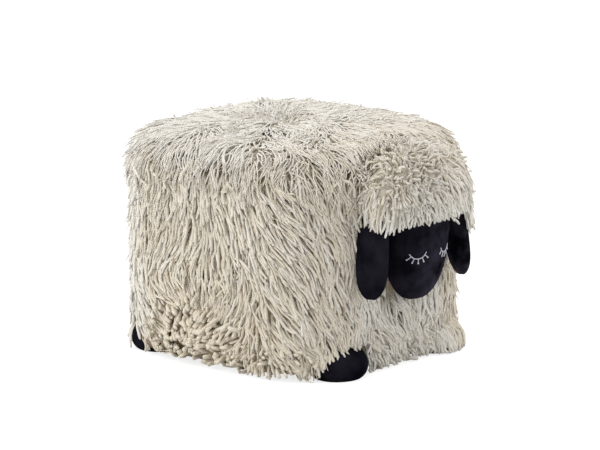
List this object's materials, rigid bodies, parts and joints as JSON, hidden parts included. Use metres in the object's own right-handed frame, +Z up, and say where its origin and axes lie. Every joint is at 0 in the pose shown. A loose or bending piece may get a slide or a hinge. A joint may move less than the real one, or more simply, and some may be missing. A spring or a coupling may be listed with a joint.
{
  "type": "pouf",
  "caption": "Sheep-shaped footstool: a filled block under long wool, with a velvet head, hanging ears and feet, and a zip across its base.",
  "frame": {"origin": "on the floor, below the middle of the overall length and width", "axes": "+Z up, the face looks towards -Y, and +X is the sheep's left side"},
  "size_m": [0.404, 0.503, 0.34],
  "materials": {
    "wool": "matte",
    "velvet": "matte",
    "thread": "satin",
    "canvas": "matte",
    "lining": "matte",
    "filling": "matte",
    "zip_tape": "matte",
    "zip_teeth": "matte",
    "zip_metal": "satin"
  },
  "bodies": {
    "pouf": {"wool_side_front": "wool", "wool_side_rear": "wool", "wool_side_left": "wool", "wool_side_right": "wool", "wool_top_panel": "wool", "head_wool_cap": "wool", "base_panel_front": "canvas", "base_panel_rear": "canvas", "inner_bag": "lining", "bead_filling": "filling", "head_cover": "velvet", "head_filling": "filling", "eyelash_left": "thread", "eyelash_right": "thread", "foot_front_left_cover": "velvet", "foot_front_left_sole": "velvet", "foot_front_left_filling": "filling", "foot_front_right_cover": "velvet", "foot_front_right_sole": "velvet", "foot_front_right_filling": "filling", "foot_rear_left_cover": "velvet", "foot_rear_left_sole": "velvet", "foot_rear_left_filling": "filling", "foot_rear_right_cover": "velvet", "foot_rear_right_sole": "velvet", "foot_rear_right_filling": "filling", "zip_tape_front": "zip_tape", "zip_tape_rear": "zip_tape", "zip_teeth_front": "zip_teeth", "zip_teeth_rear": "zip_teeth", "zip_stop_left": "zip_metal", "zip_stop_right": "zip_metal"},
    "left_ear": {"ear_left_cover": "velvet", "ear_left_wadding": "filling"},
    "right_ear": {"ear_right_cover": "velvet", "ear_right_wadding": "filling"},
    "slider": {"zip_slider": "zip_metal"},
    "pull": {"zip_pull": "zip_metal"}
  },
  "joints": [
    {"name": "left_ear_swing", "type": "hinge", "parent": "pouf", "child": "left_ear", "pos_m": [0.09, -0.1861, 0.256], "axis": [0, -1, 0], "range_deg": [0, 70]},
    {"name": "right_ear_swing", "type": "hinge", "parent": "pouf", "child": "right_ear", "pos_m": [-0.09, -0.1861, 0.256], "axis": [0, 1, 0], "range_deg": [0, 70]},
    {"name": "slider_travel", "type": "slide", "parent": "pouf", "child": "slider", "axis": [-1, 0, 0], "range_m": [0, 0.268]},
    {"name": "pull_swing", "type": "hinge", "parent": "slider", "child": "pull", "pos_m": [0.1341, 0.0445, 0.03275], "axis": [0, 1, 0], "range_deg": [-90, 90]}
  ]
}
